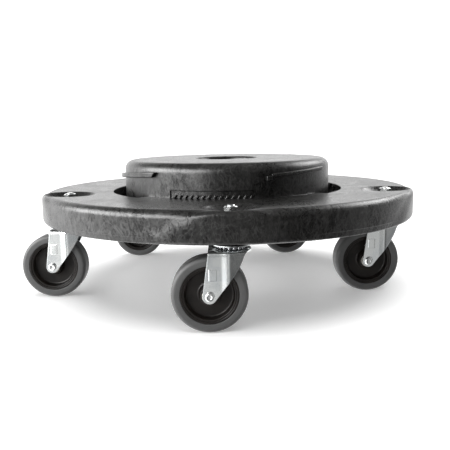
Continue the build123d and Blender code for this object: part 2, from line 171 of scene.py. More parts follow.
def smoothstep(low, high, value):
    t = min(1.0, max(0.0, (value - low) / (high - low)))
    return t * t * (3 - 2 * t)


def arc(centre_x, centre_y, radius, start, end, count):
    """Points along an arc, both ends included; angles in degrees."""
    return [
        (
            centre_x + radius * cos(radians(start + (end - start) * i / count)),
            centre_y + radius * sin(radians(start + (end - start) * i / count)),
        )
        for i in range(count + 1)
    ]


def at(radius, azimuth, height):
    a = radians(azimuth)
    return (radius * sin(a), -radius * cos(a), height)


def new_object(name, verts, faces, sharp_angle=38):
    """An object from points in millimetres, smooth but for edges sharper than an angle."""
    mesh = bpy.data.meshes.new(name)
    mesh.from_pydata([(x * MM, y * MM, z * MM) for x, y, z in verts], [], faces)
    tidy = bmesh.new()
    tidy.from_mesh(mesh)
    bmesh.ops.remove_doubles(tidy, verts=tidy.verts, dist=1e-6)
    bmesh.ops.dissolve_degenerate(tidy, edges=tidy.edges, dist=1e-6)
    bmesh.ops.recalc_face_normals(tidy, faces=tidy.faces)
    tidy.to_mesh(mesh)
    tidy.free()
    mesh.polygons.foreach_set("use_smooth", [True] * len(mesh.polygons))
    mesh.set_sharp_from_angle(angle=radians(sharp_angle))
    obj = bpy.data.objects.new(name, mesh)
    bpy.context.scene.collection.objects.link(obj)
    return obj


def bevel(obj, width, segments=2, angle=40):
    mod = obj.modifiers.new("edge_round", "BEVEL")
    mod.width = width * MM
    mod.segments = segments
    mod.limit_method = "ANGLE"
    mod.angle_limit = radians(angle)
    mod.harden_normals = False
    return mod


def bake_modifiers(obj, sharp_angle=38):
    """Applies an object's modifiers to its mesh."""
    bpy.context.view_layer.update()
    graph = bpy.context.evaluated_depsgraph_get()
    mesh = bpy.data.meshes.new_from_object(obj.evaluated_get(graph))
    obj.modifiers.clear()
    obj.data = mesh
    mesh.polygons.foreach_set("use_smooth", [True] * len(mesh.polygons))
    mesh.set_sharp_from_angle(angle=radians(sharp_angle))
    return obj


def grid_faces(row_count, column_count, close_rows, close_columns):
    faces = []
    for r in range(row_count if close_rows else row_count - 1):
        row = r * column_count
        row2 = (r + 1) % row_count * column_count
        for c in range(column_count if close_columns else column_count - 1):
            c2 = (c + 1) % column_count
            faces.append((row + c, row + c2, row2 + c2, row2 + c))
    return faces


def lathe(profile, segments, place):
    """Points and faces of a closed outline (radius, along) turned about an axis.  place
    turns (radius, angle, along) into a point."""
    verts = []
    for radius, along in profile:
        for s in range(segments):
            verts.append(place(radius, 2 * pi * s / segments, along))
    return verts, grid_faces(len(profile), segments, True, True)


def upright(x, y):
    return lambda radius, angle, along: (x + radius * cos(angle), y + radius * sin(angle), along)


def join_parts(parts):
    verts, faces = [], []
    for part_verts, part_faces in parts:
        start = len(verts)
        verts.extend(part_verts)
        faces.extend(tuple(i + start for i in face) for face in part_faces)
    return verts, faces


def rounded(corners, count=4):
    """A closed outline from (x, y, radius) corners, with an arc at each corner that has a
    radius."""
    outline = []
    for i, (x, y, radius) in enumerate(corners):
        before = corners[i - 1]
        after = corners[(i + 1) % len(corners)]
        if radius == 0:
            outline.append((x, y))
            continue
        to_before = Vector((before[0] - x, before[1] - y)).normalized()
        to_after = Vector((after[0] - x, after[1] - y)).normalized()
        half = acos(max(-1, min(1, to_before.dot(to_after)))) / 2
        reach = radius / tan(half)
        bisector = (to_before + to_after).normalized()
        centre = Vector((x, y)) + bisector * (radius / sin(half))
        first = Vector((x, y)) + to_before * reach - centre
        last = Vector((x, y)) + to_after * reach - centre
        turn = atan2(first.x * last.y - first.y * last.x, first.dot(last))
        for k in range(count + 1):
            a = turn * k / count
            outline.append((
                centre.x + first.x * cos(a) - first.y * sin(a),
                centre.y + first.x * sin(a) + first.y * cos(a),
            ))
    return outline


# ---------------------------------------------------------------- materials


class Graph:
    """A short way to write a material's nodes."""

    def __init__(self, name):
        self.material = bpy.data.materials.new(name)
        self.material.use_nodes = True
        self.tree = self.material.node_tree
        self.shader = self.tree.nodes["Principled BSDF"]
        self.object_point = self.node("ShaderNodeTexCoord").outputs["Object"]

    def node(self, kind, **settings):
        made = self.tree.nodes.new(kind)
        for key, value in settings.items():
            setattr(made, key, value)
        return made

    def link(self, source, target):
        self.tree.links.new(source, target)

    def stretched(self, scale, source=None):
        mapping = self.node("ShaderNodeMapping")
        mapping.inputs["Scale"].default_value = scale
        self.link(source or self.object_point, mapping.inputs["Vector"])
        return mapping.outputs["Vector"]

    def noise(self, scale, point=None, detail=4.0, roughness=0.55, distortion=0.0):
        made = self.node("ShaderNodeTexNoise")
        made.inputs["Scale"].default_value = scale
        made.inputs["Detail"].default_value = detail
        made.inputs["Roughness"].default_value = roughness
        made.inputs["Distortion"].default_value = distortion
        self.link(point or self.object_point, made.inputs["Vector"])
        return made

    def range(self, value, low, high, to_low, to_high, kind="LINEAR"):
        made = self.node("ShaderNodeMapRange", interpolation_type=kind)
        made.inputs["From Min"].default_value = low
        made.inputs["From Max"].default_value = high
        made.inputs["To Min"].default_value = to_low
        made.inputs["To Max"].default_value = to_high
        self.link(value, made.inputs["Value"])
        return made.outputs["Result"]

    def math(self, operation, first, second):
        made = self.node("ShaderNodeMath", operation=operation)
        for socket, value in zip(made.inputs, (first, second)):
            if isinstance(value, (int, float)):
                socket.default_value = value
            else:
                self.link(value, socket)
        return made.outputs["Value"]

    def colours(self, factor, dark, light):
        made = self.node("ShaderNodeMix", data_type="RGBA")
        made.inputs["A"].default_value = (*dark, 1)
        made.inputs["B"].default_value = (*light, 1)
        self.link(factor, made.inputs["Factor"])
        return made.outputs["Result"]

    def bump(self, height, strength, distance, before=None):
        made = self.node("ShaderNodeBump")
        made.inputs["Strength"].default_value = strength
        made.inputs["Distance"].default_value = distance
        self.link(height, made.inputs["Height"])
        if before is not None:
            self.link(before, made.inputs["Normal"])
        return made.outputs["Normal"]

    def set(self, **values):
        for key, value in values.items():
            socket = self.shader.inputs[key.replace("_", " ").title().replace("Ior", "IOR")]
            if isinstance(value, (int, float)):
                socket.default_value = value
            else:
                self.link(value, socket)


def moulded_foam():
    """Black structural foam: swirls of skin drawn out as the mould filled."""
    g = Graph("moulded_foam")
    warp = g.noise(9, detail=3)
    push = g.node("ShaderNodeVectorMath", operation="SCALE")
    push.inputs["Scale"].default_value = 0.028
    g.link(warp.outputs["Color"], push.inputs[0])
    moved = g.node("ShaderNodeVectorMath", operation="ADD")
    g.link(g.object_point, moved.inputs[0])
    g.link(push.outputs["Vector"], moved.inputs[1])
    flow = g.stretched((1, 1, 0.5), moved.outputs["Vector"])
    swirl = g.noise(60, flow, detail=7, roughness=0.66, distortion=1.2).outputs["Fac"]
    cloud = g.noise(17, flow, detail=3, roughness=0.5, distortion=0.8).outputs["Fac"]
    streak = g.noise(430, g.stretched((1, 1, 0.6)), detail=5, roughness=0.7).outputs["Fac"]
    veins = g.range(swirl, 0.3, 0.7, 0, 1)
    patches = g.range(cloud, 0.34, 0.68, 0, 1)
    fine = g.range(streak, 0.34, 0.68, 0, 1, "SMOOTHSTEP")
    thread = g.noise(105, flow, detail=4, roughness=0.6, distortion=1.6).outputs["Fac"]
    crest = g.math("ABSOLUTE", g.math("SUBTRACT", thread, 0.53), 0)
    strokes = g.range(crest, 0.0, 0.05, 1, 0, "SMOOTHSTEP")
    marbling = g.math("ADD", g.math("MULTIPLY", veins, 0.3), g.math("MULTIPLY", patches, 0.2))
    marbling = g.math("ADD", marbling, g.math("MULTIPLY", fine, 0.24))
    marbling = g.math("ADD", marbling, g.math("MULTIPLY", strokes, 0.26))
    colour = g.colours(marbling, (0.0015, 0.0015, 0.0015), (0.0175, 0.0169, 0.0157))
    roughness = g.range(marbling, 0.1, 0.9, 0.22, 0.46)
    sheen = g.range(marbling, 0.1, 0.8, 0.13, 0.56)
    grain = g.noise(900, detail=3).outputs["Fac"]
    soft = g.bump(marbling, 0.26, 0.0005)
    normal = g.bump(grain, 0.1, 0.0001, soft)
    g.set(base_color=colour, roughness=roughness, specular_ior_level=sheen)
    g.link(normal, g.shader.inputs["Normal"])
    return g.material


def zinc(name, light, dark, scale, relief):
    """Bright zinc plate: cloudy, with fine drawing lines."""
    g = Graph(name)
    cloud = g.noise(scale, detail=5, roughness=0.6, distortion=0.6).outputs["Fac"]
    lines = g.noise(scale * 14, g.stretched((1, 1, 0.12)), detail=2).outputs["Fac"]
    patch = g.range(cloud, 0.38, 0.64, 0, 1, "SMOOTHSTEP")
    colour = g.colours(patch, dark, light)
    rough = g.math("ADD", g.range(cloud, 0.3, 0.7, 0.14, 0.24), g.math("MULTIPLY", lines, 0.06))
    spangle = g.noise(scale * 9, detail=3).outputs["Fac"]
    g.set(base_color=colour, roughness=rough, metallic=1.0)
    normal = g.bump(spangle, relief, 0.0002, g.bump(lines, relief / 2, 0.0001))
    g.link(normal, g.shader.inputs["Normal"])
    return g.material


def ball_steel_painted_shade():
    """Ball steel, given a dark base colour as painted shade for the narrow gap of the swivel race."""
    g = Graph("ball_steel_painted_shade")
    cloud = g.noise(300, detail=3).outputs["Fac"]
    g.set(base_color=g.colours(cloud, (0.16, 0.16, 0.17), (0.3, 0.3, 0.31)),
          roughness=g.range(cloud, 0.3, 0.7, 0.12, 0.22), metallic=1.0)
    return g.material


def tread_rubber():
    """Grey non-marking rubber with a faint bloom."""
    g = Graph("tread_rubber")
    bloom = g.noise(45, detail=5, roughness=0.6).outputs["Fac"]
    dust = g.noise(600, detail=4, roughness=0.7).outputs["Fac"]
    tone = g.math("ADD", g.math("MULTIPLY", bloom, 0.7), g.math("MULTIPLY", dust, 0.3))
    spread = g.range(tone, 0.35, 0.65, 0, 1)
    colour = g.colours(spread, (0.042, 0.042, 0.042), (0.06, 0.06, 0.0595))
    g.set(base_color=colour, roughness=g.range(tone, 0.3, 0.7, 0.55, 0.72))
    g.link(g.bump(dust, 0.25, 0.00012), g.shader.inputs["Normal"])
    return g.material


def wheel_plastic():
    """Dark brown-black polyolefin, satin, with a fine grain."""
    g = Graph("wheel_plastic")
    cloud = g.noise(60, detail=4, distortion=0.5).outputs["Fac"]
    grain = g.noise(700, detail=3).outputs["Fac"]
    tone = g.range(cloud, 0.35, 0.65, 0, 1)
    colour = g.colours(tone, (0.007, 0.0055, 0.0046), (0.0135, 0.0108, 0.009))
    g.set(base_color=colour, roughness=g.range(cloud, 0.3, 0.7, 0.32, 0.46), specular_ior_level=0.2)
    g.link(g.bump(grain, 0.15, 0.0001), g.shader.inputs["Normal"])
    return g.material


def bush_nylon():
    """Natural nylon, slightly uneven in tone."""
    g = Graph("bush_nylon")
    cloud = g.noise(220, detail=4).outputs["Fac"]
    g.set(base_color=g.colours(cloud, (0.5, 0.48, 0.43), (0.68, 0.66, 0.6)),
          roughness=g.range(cloud, 0.3, 0.7, 0.4, 0.55))
    return g.material


def plain_glow(name, tone, level):
    """A matt tone that also gives off light, for what is staged round the dolly."""
    g = Graph(name)
    g.shader.inputs["Base Color"].default_value = (tone, tone, tone, 1)
    g.shader.inputs["Roughness"].default_value = 0.9
    g.shader.inputs["Specular IOR Level"].default_value = 0.0
    g.shader.inputs["Emission Color"].default_value = (1, 1, 1, 1)
    g.shader.inputs["Emission Strength"].default_value = level
    return g.material


finishes = {
    "moulded_foam": moulded_foam(),
    "zinc_steel": zinc("zinc_hardware", (0.82, 0.83, 0.82), (0.56, 0.575, 0.575), 160, 0.03),
    "fork_steel": zinc("zinc_sheet", (0.96, 0.98, 0.97), (0.84, 0.875, 0.885), 45, 0.12),
    "ball_steel": ball_steel_painted_shade(),
    "tread_rubber": tread_rubber(),
    "wheel_plastic": wheel_plastic(),
    "bush_nylon": bush_nylon(),
}


def add_piece(obj, body, finish, node, material=None):
    """Gives a piece its finish and sets it on a body, in place of a CAD node."""
    obj.data.materials.clear()
    obj.data.materials.append(material or finishes[finish])
    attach(obj, body)
    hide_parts(node)


# ---------------------------------------------------------------- platform skin
# The skin is one closed section turned about the drum's axis on a grid of azimuths that
# is finer at the casters, the windows' ends and the recess's ends.
deck_slope = (deck_edge_height - deck_foot_height) / (wall_radius - drum_radius)


def deck_height(radius):
    return deck_foot_height + deck_slope * (radius - drum_radius)


def under_height(radius):
    share = (radius - drum_radius) / (inner_radius - drum_radius)
    return deck_under_foot + (deck_under_edge - deck_under_foot) * share


def skin_rows():
    """The section's points from the centre hole outwards, round the rim and back inside.
    Each is a name and two (radius, height) points: for the plain rim, and at a pad."""
    rows = []

    def both(name, points):
        rows.extend((name, p, p) for p in points)

    both("hole", [(hole_radius, collar_bottom), (hole_radius, 151.0)])
    both("hole", arc(hole_radius + hole_round, drum_top - hole_round, hole_round, 180, 90, 6))
    both("top", [(r, drum_top) for r in (50, 62, 76, 90, 105)])
    both("top", arc(drum_radius - drum_round, drum_top - drum_round, drum_round, 90, 0, 12))
    both("wall", [(drum_radius, z) for z in (146, 141, 136, 133, recess_top + 0.9)])
    both("lip", [(drum_radius, recess_top + rise) for rise in (recess_lip_height, 0.2, 0)])
    both("recess", [(drum_radius, z) for z in (recess_top - 0.02, 129.4, 126.5)])
    both("foot", arc(drum_radius + foot_round, deck_foot_height + foot_round, foot_round, 180, 270, 4))
    both("gap", [(r, deck_height(r)) for r in (134, 138, 142)])
    both("window_edge", [(window_outer_radius, deck_height(window_outer_radius))])
    both("deck", [(r, deck_height(r)) for r in (146.7, 150, 155, 160, 164)])
    fine_from, fine_count = 166, 38
    start = wall_radius - rim_round
    fine_radii = [fine_from + (start - fine_from) * i / fine_count for i in range(fine_count)]
    both("deck", [(r, deck_height(r)) for r in fine_radii])

    plain = arc(wall_radius - rim_round, deck_edge_height - rim_round, rim_round, 90, 0, 16)
    pad_flat_end = rim_radius - pad_top_round
    pad = [(start + (pad_flat_end - start) * i / 6, deck_edge_height) for i in range(6)]
    pad += arc(pad_flat_end, deck_edge_height - pad_top_round, pad_top_round, 90, 0, 8)
    round_end = deck_edge_height - rim_round
    plain.append((wall_radius, round_end - 1.4))
    pad += [(rim_radius, round_end + rise) for rise in (1.9, -0.6, -1.8)]
    for p, q in zip(plain, pad):
        rows.append(("rim", p, q))
    for z in (111, 108.5, 106, 103.5, 101.5):
        rows.append(("rim", (wall_radius, z), (rim_radius, z)))
    foot_radius = wall_radius - rim_foot_lean
    foot_height = rim_bottom + rim_foot_height
    low_plain = [
        (wall_radius, 99.5), (wall_radius, foot_height + 0.6), (wall_radius, foot_height + 0.2),
        (wall_radius - 0.4, foot_height - 0.2), (wall_radius - 0.55, foot_height - 0.8),
        (wall_radius - 0.95, 94.0),
    ]
    low_plain += arc(foot_radius - rim_bottom_round, rim_bottom + rim_bottom_round,
                     rim_bottom_round, 0, -90, 6)
    low_pad = [(rim_radius, 99.5), (rim_radius, 98.0), (rim_radius, 97.0)]
    low_pad += arc(rim_radius - pad_bottom_round, rim_bottom + pad_bottom_round,
                   pad_bottom_round, 0, -90, 9)
    for p, q in zip(low_plain, low_pad):
        rows.append(("rim", p, q))
    rows.append(("rim", (225.0, rim_bottom), (223.4, rim_bottom)))

    both("under", [(inner_radius, rim_bottom + 0.6), (inner_radius, 104)])
    both("under", arc(inner_radius - under_round, deck_under_edge - under_round, under_round, 0, 90, 3))
    both("under", [(r, under_height(r)) for r in (200, 175, 155, 146.7)])
    both("window_under", [(window_outer_radius, under_height(window_outer_radius))])
    both("gap_under", [(r, under_height(r)) for r in (142, 138, 134)])
    both("skirt_corner", [(drum_radius, deck_under_foot)])
    both("skirt", [(drum_radius, 104), (drum_radius, 92)])
    skirt_round_height = rim_bottom + skirt_round
    both("skirt", arc(drum_radius - skirt_round, skirt_round_height, skirt_round, 0, -90, 2))
    both("skirt", arc(drum_inner_radius + skirt_round, skirt_round_height, skirt_round, -90, -180, 2))
    both("skirt", [(drum_inner_radius, 110), (drum_inner_radius, 130)])
    both("skirt", arc(drum_inner_radius - drum_inner_round, drum_under - drum_inner_round,
                      drum_inner_round, 0, 90, 4))
    both("skirt", [(r, drum_under) for r in (95, 70)])
    both("skirt", [(collar_radius, drum_under), (collar_radius, collar_bottom + collar_chamfer),
                   (collar_radius - collar_chamfer, collar_bottom)])
    return rows


def skin_azimuths():
    """The section's azimuths, with extra ones set close together where the shape changes."""
    marks = set()
    for start, end in window_spans:
        for step in (0, 0.1, 0.4, 0.9, 1.55):
            marks.add(start + step)
            marks.add(end - step)
        marks.add(start - 0.3)
        marks.add(end + 0.3)
    for end, sign in zip(recess_span, (-1, 1)):
        marks.update((end, end + sign * 0.1, end + sign * 0.5, end - sign * 0.4))
    fine_reach, fine_step, step, closest = 9.8, 0.35, 1.0, 0.16
    azimuth = -180.0
    regular = []
    while azimuth < 180 - step / 4:
        regular.append(azimuth)
        away = min(abs((azimuth - s + 180) % 360 - 180) for s in station_azimuths)
        azimuth += fine_step if away < fine_reach else step
    kept = [a for a in regular if min(abs(a - m) for m in marks) > closest]
    return sorted(kept + list(marks))


def in_window(azimuth):
    return any(start <= azimuth <= end for start, end in window_spans)


def window_edge_radius(azimuth):
    """The window's outer edge, with a round at each end."""
    run = min(
        radians(min(abs(azimuth - start), abs(end - azimuth))) * window_outer_radius
        for start, end in window_spans
    )
    past_round = max(0, window_corner - run)
    return window_outer_radius - window_corner + sqrt(window_corner**2 - past_round**2)


# How far the middle of a pad's edge lies to each side of its station, against height
pad_edge = [(91.0, 89.0), (97.0, 79.0), (104.0, 66.0), (111.0, 54.0), (117.0, 39.0), (124.0, 21.0)]


def pad_half_width(height):
    for (z1, w1), (z2, w2) in zip(pad_edge, pad_edge[1:]):
        if height <= z2:
            return w1 + (w2 - w1) * max(0, height - z1) / (z2 - z1)
    return pad_edge[-1][1]


def pad_share(azimuth, height):
    """How far the rim has changed from its plain section to a pad's, from 0 to 1."""
    blend = 36
    half = pad_half_width(height)
    best = 0
    for s in station_azimuths:
        away = abs((azimuth - s + 180) % 360 - 180)
        distance = 2 * rim_radius * sin(radians(away) / 2)
        best = max(best, 1 - smoothstep(half - blend / 2, half + blend / 2, distance))
    return best


dish_arc_radius = (
    ((dish_radius - dish_floor_radius)**2 + (dish_lip_height - dish_floor)**2)
    / (2 * (dish_lip_height - dish_floor))
)


def dished(x, y, height):
    """Lowers a point of the deck into a nut dish, with a slightly rounded lip."""
    nearest = min(hypot(x - s[0] / MM, y - s[1] / MM) for s in stations)
    if nearest > dish_radius + dish_blend_reach:
        return height
    run = max(0, nearest - dish_floor_radius)
    if run < dish_arc_radius:
        dish = dish_floor + dish_arc_radius - sqrt(dish_arc_radius**2 - run**2)
    else:
        dish = dish_floor + dish_arc_radius
    mixed = max(0.0, 1 - abs(height - dish) / (2 * dish_edge_softness))
    return min(height, dish) - mixed * mixed * dish_edge_softness / 2


def build_skin():
    """The whole shell, from the rows and azimuths, with its windows cut and walled."""
    rows = skin_rows()
    azimuths = skin_azimuths()
    names = [row[0] for row in rows]
    recess_start, recess_end = recess_span
    verts = []
    for name, plain, pad in rows:
        for azimuth in azimuths:
            r, z = plain
            if name == "rim":
                share = pad_share(azimuth, plain[1])
                r += (pad[0] - r) * share
                z += (pad[1] - z) * share
            windowed = in_window(azimuth)
            if name in ("recess", "foot") and recess_start <= azimuth <= recess_end:
                r -= recess_depth
            if name == "lip" and recess_start <= azimuth <= recess_end:
                r -= recess_lip_depth * (1 - (z - recess_top) / recess_lip_height)**2
            if windowed and name == "foot":
                r = drum_radius
            if windowed and name in ("window_edge", "window_under"):
                r = window_edge_radius(azimuth)
                z -= window_edge_drop if name == "window_edge" else 0
            x, y, z = at(r, azimuth, z)
            if name == "deck" or (name == "rim" and z > dish_floor):
                z = dished(x, y, z)
            if name == "under" and plain[0] < inner_radius - 2:
                z = min(z, dished(x, y, z + dish_thickness) - dish_thickness)
            verts.append((x, y, z))
    columns = len(azimuths)

    def cell(r, r2, c, c2):
        return (r * columns + c, r * columns + c2, r2 * columns + c2, r2 * columns + c)

    foot_end = max(i for i, n in enumerate(names) if n == "foot")
    edge = names.index("window_edge")
    under = names.index("window_under")
    corner = names.index("skirt_corner")
    top_run = list(range(foot_end, edge + 1))
    low_run = list(range(corner, under - 1, -1))
    faces = []
    for r in range(len(rows)):
        r2 = (r + 1) % len(rows)
        for c in range(columns):
            c2 = (c + 1) % columns
            open_here = in_window(azimuths[c]) and in_window(azimuths[c2])
            if open_here and (foot_end <= r < edge or under <= r < corner):
                continue
            faces.append(cell(r, r2, c, c2))
    for c in range(columns):
        c2 = (c + 1) % columns
        if in_window(azimuths[c]) and in_window(azimuths[c2]):
            faces.append(cell(edge, under, c, c2))
            faces.append(cell(foot_end, corner, c, c2))
    ends = [azimuths.index(a) for span in window_spans for a in span]
    for c in ends:
        for t, low, t2, low2 in zip(top_run, low_run, top_run[1:], low_run[1:]):
            faces.append(tuple(row * columns + c for row in (t, low, low2, t2)))
    return new_object("platform_skin", verts, faces, 35)


skin = build_skin()
add_piece(skin, "dolly_base", "moulded_foam", "platform")


# ---------------------------------------------------------------- under the platform


def wall_along(inner, outer, bottom, top):
    """A closed upright wall between two plan outlines of (radius, azimuth) points."""
    verts = []
    for path in (inner, outer):
        for height in (bottom, top):
            verts.extend(at(r, a, height) for r, a in path)
    n = len(inner)
    faces = []
    for i in range(n - 1):
        faces.append((i, i + 1, n + i + 1, n + i))
        faces.append((2 * n + i, 2 * n + i + 1, 3 * n + i + 1, 3 * n + i))
        faces.append((i, i + 1, 2 * n + i + 1, 2 * n + i))
        faces.append((n + i, n + i + 1, 3 * n + i + 1, 3 * n + i))
    for i in (0, n - 1):
        faces.append((i, n + i, 3 * n + i, 2 * n + i))
    return verts, faces


def window_wall(start, end):
    """The flange that goes down from a window's outer edge and its two ends."""
    root = drum_radius - 1
    first, last = start - window_end_arc, end + window_end_arc
    steps = 70
    inner, outer = [(root, start)], [(root, first)]
    for i in range(steps + 1):
        azimuth = start + (end - start) * i / steps
        inner.append((window_edge_radius(azimuth), azimuth))
        outer.append((window_outer_radius + window_flange, first + (last - first) * i / steps))
    inner.append((root, end))
    outer.append((root, last))
    return wall_along(inner, outer, window_flange_bottom, deck_under_foot + window_flange_sink)


def block(azimuth, inner, outer, width, bottom, top, lean=0.0):
    """A box on a line out from the middle; lean moves its top towards +azimuth."""
    a = radians(azimuth)
    outwards = Vector((sin(a), -cos(a), 0))
    along = Vector((cos(a), sin(a), 0))
    verts = []
    for r in (inner, outer):
        for height, shift in ((bottom, 0), (top, lean)):
            for side in (-1, 1):
                p = outwards * r + along * (side * width / 2 + shift)
                verts.append((p.x, p.y, height))
    faces = [(0, 1, 3, 2), (4, 5, 7, 6), (0, 1, 5, 4), (2, 3, 7, 6), (0, 2, 6, 4), (1, 3, 7, 5)]
    return verts, faces


def round_boss(x, y):
    """The boss that a king bolt clamps, with the narrower nose that carries the race cup."""
    profile = rounded([
        (boss_bore_radius, boss_top, 0), (dish_floor_radius, boss_top, 0),
        (boss_radius, boss_top_edge, 0), (boss_radius, rim_bottom, 1.0),
        (nose_root_radius, rim_bottom, 0.8), (nose_radius, nose_bottom, 0.8),
        (boss_bore_radius, nose_bottom, 0),
    ])
    return lathe(profile, 64, upright(x, y))


parts = [window_wall(*span) for span in window_spans]
for n in range(rib_count):
    rib_azimuth = (n * 360 / rib_count + 180) % 360 - 180
    rib_start = window_outer_radius + 1 if in_window(rib_azimuth) else drum_radius - rib_sink
    meets_boss = n % 3 == 0
    boss_side = station_radius - boss_radius + rib_sink_in_boss
    rib_end = boss_side if meets_boss else inner_radius + rib_sink
    parts.append(block(rib_azimuth, rib_start, rib_end, rib_thickness, rib_bottom, rib_top))
parts += [
    block(n * 360 / drum_rib_count, collar_radius - rib_sink, drum_inner_radius + rib_sink,
          rib_thickness, drum_rib_bottom, drum_rib_top)
    for n in range(drum_rib_count)
]
ribs = new_object("platform_ribs", *join_parts(parts))
bevel(ribs, 0.7)
add_piece(ribs, "dolly_base", "moulded_foam", "platform")

bosses = new_object(
    "platform_bosses", *join_parts([round_boss(s[0] / MM, s[1] / MM) for s in stations])
)
add_piece(bosses, "dolly_base", "moulded_foam", "platform")


# ---------------------------------------------------------------- lugs and teeth


def lug(spec, turn):
    """A flange that climbs round the drum wall, its high end cut to lean outwards."""
    steps = 48
    end_lean = spec["lean"] / (drum_radius * radians(1))
    verts = []
    for i in range(steps + 1):
        share = i / steps
        for r, level in ((lug_root_radius, 0), (drum_radius + lug_reach, 0),
                         (drum_radius + lug_reach, 1), (lug_root_radius, 1)):
            run = (spec["arc"] - (0 if level else end_lean)) * share
            height = spec["bottom"] + lug_slope * run + level * spec["height"]
            verts.append(at(r, spec["azimuth"] + run + turn, height))
    faces = []
    for i in range(steps):
        for k in range(4):
            k2 = (k + 1) % 4
            faces.append((4 * i + k, 4 * i + k2, 4 * i + 4 + k2, 4 * i + 4 + k))
    faces.append((0, 1, 2, 3))
    faces.append(tuple(4 * steps + k for k in range(4)))
    return verts, faces


parts = [lug(spec, turn) for turn in (0, 180) for spec in (plain_lug, stop_lug)]
lugs = new_object("twist_lugs", *join_parts(parts))
bevel(lugs, 1.0, 3)
add_piece(lugs, "dolly_base", "moulded_foam", "platform")

stop_width, stop_depth, stop_height = stop_block_size
parts = [
    block(stop_lug["azimuth"] + stop_block_turn + turn, lug_root_radius, lug_root_radius + stop_depth,
          stop_width, stop_block_bottom, stop_block_bottom + stop_height)
    for turn in (0, 180)
]
stops = new_object("stop_blocks", *join_parts(parts))
bevel(stops, 0.9, 3)
add_piece(stops, "dolly_base", "moulded_foam", "platform")

parts = [
    block(tooth_first_azimuth + n * tooth_pitch, tooth_root_radius, tooth_outer_radius, tooth_width,
          deck_foot_height - tooth_sink, deck_foot_height + tooth_height, tooth_lean)
    for n in range(tooth_count)
]
teeth = new_object("ratchet_teeth", *join_parts(parts))
bevel(teeth, 0.5)
add_piece(teeth, "dolly_base", "moulded_foam", "platform")


# ---------------------------------------------------------------- casters
# A caster is drawn about its swivel axis, with the wheel trailing towards -X.
# The leg's plan: its outward slope at a distance along X.  It swells, then folds in.
leg_slopes = [(-10.9, 0.0), (-9.9, 0.114), (-5.2, 0.114), (-1.8, -0.344)]
# Its leading edge, seen from the side, from the straight run upwards.
lead_points = [
    (0.6, 56.5), (4.9, 62.9), (8.2, 68.6), (10.2, 72.8),
    (11.7, 77.0), (13.8, 80.3), (16.4, 82.1), (18.7, fork_top),
]


def tangent_point(centre, radius, outside, side):
    """Where a line from a point outside a circle touches it; side picks which of the two."""
    dx = outside[0] - centre[0]
    dy = outside[1] - centre[1]
    angle = atan2(dy, dx) + side * acos(radius / hypot(dx, dy))
    return (centre[0] + radius * cos(angle), centre[1] + radius * sin(angle))


axle = (-trail, axle_height)
rear_tangent = tangent_point(axle, leg_foot_radius, (leg_rear_x, fork_top), 1)
lead_tangent = tangent_point(axle, leg_foot_radius, lead_points[0], -1)


def rear_edge(z):
    """The leg's rear edge at a height, as X: round the foot, then straight."""
    if z < rear_tangent[1]:
        return -trail - sqrt(max(0, leg_foot_radius**2 - (z - axle_height)**2))
    share = (z - rear_tangent[1]) / (fork_top - rear_tangent[1])
    return rear_tangent[0] + (leg_rear_x - rear_tangent[0]) * share


def lead_edge(z):
    """The leg's leading edge at a height, as X."""
    if z < lead_tangent[1]:
        return -trail + sqrt(max(0, leg_foot_radius**2 - (z - axle_height)**2))
    edge = [lead_tangent] + lead_points
    for (x1, z1), (x2, z2) in zip(edge, edge[1:]):
        if z <= z2:
            return x1 + (x2 - x1) * (z - z1) / (z2 - z1)
    return edge[-1][0]


def leg_face(x):
    """How far the leg's outer face stands from the middle plane."""
    stand = leg_outer
    for (x1, slope1), (x2, slope2) in zip(leg_slopes, leg_slopes[1:]):
        if x > x1:
            reach = min(x, x2) - x1
            slope_here = slope1 + (slope2 - slope1) * reach / (x2 - x1)
            stand += (slope1 + slope_here) / 2 * reach
    last_x, last_slope = leg_slopes[-1]
    return stand + last_slope * max(0, x - last_x)


def fork_sheet():
    """The pressed sheet: two legs and the plate between them, as one bent strip."""
    columns, foot_rows, leg_rows = 30, 12, 30
    foot_turns = [radians(90 * i / foot_rows) for i in range(foot_rows)]
    heights = [axle_height - leg_foot_radius * cos(turn) for turn in foot_turns]
    level = fork_top - shoulder_radius
    heights += [axle_height + (level - axle_height) * i / leg_rows for i in range(leg_rows)]
    half = [(z, 0.0) for z in heights]
    half += [(level + shoulder_radius * sin(radians(a)), shoulder_radius * (1 - cos(radians(a))))
             for a in range(0, 91, 15)]
    rows = [(z, inset, 1) for z, inset in half]
    rows += [(fork_top, shoulder_radius, quarter / 4) for quarter in range(3, -4, -1)]
    rows += [(z, inset, -1) for z, inset in reversed(half)]
    verts = []
    for z, inset, share in rows:
        low, high = rear_edge(z), lead_edge(z)
        for c in range(columns + 1):
            x = low + (high - low) * c / columns
            verts.append((x, -share * (leg_face(x) - inset), z))
    return verts, grid_faces(len(rows), columns + 1, False, False)


def cylinder_tool(name, centre, radius, length, across):
    """A cutter along Y where across is true, or upright."""
    sides = 48
    verts = []
    for end in (-1, 1):
        for s in range(sides):
            a = 2 * pi * s / sides
            u, v, w = radius * cos(a), radius * sin(a), end * length / 2
            offset = (u, w, v) if across else (u, v, w)
            verts.append(tuple(c + o for c, o in zip(centre, offset)))
    faces = [(s, (s + 1) % sides, sides + (s + 1) % sides, sides + s) for s in range(sides)]
    faces += [tuple(range(sides)), tuple(range(sides, 2 * sides))]
    return new_object(name, verts, faces)


def cut(obj, tool):
    mod = obj.modifiers.new("cut", "BOOLEAN")
    mod.operation = "DIFFERENCE"
    mod.solver = "EXACT"
    mod.object = tool


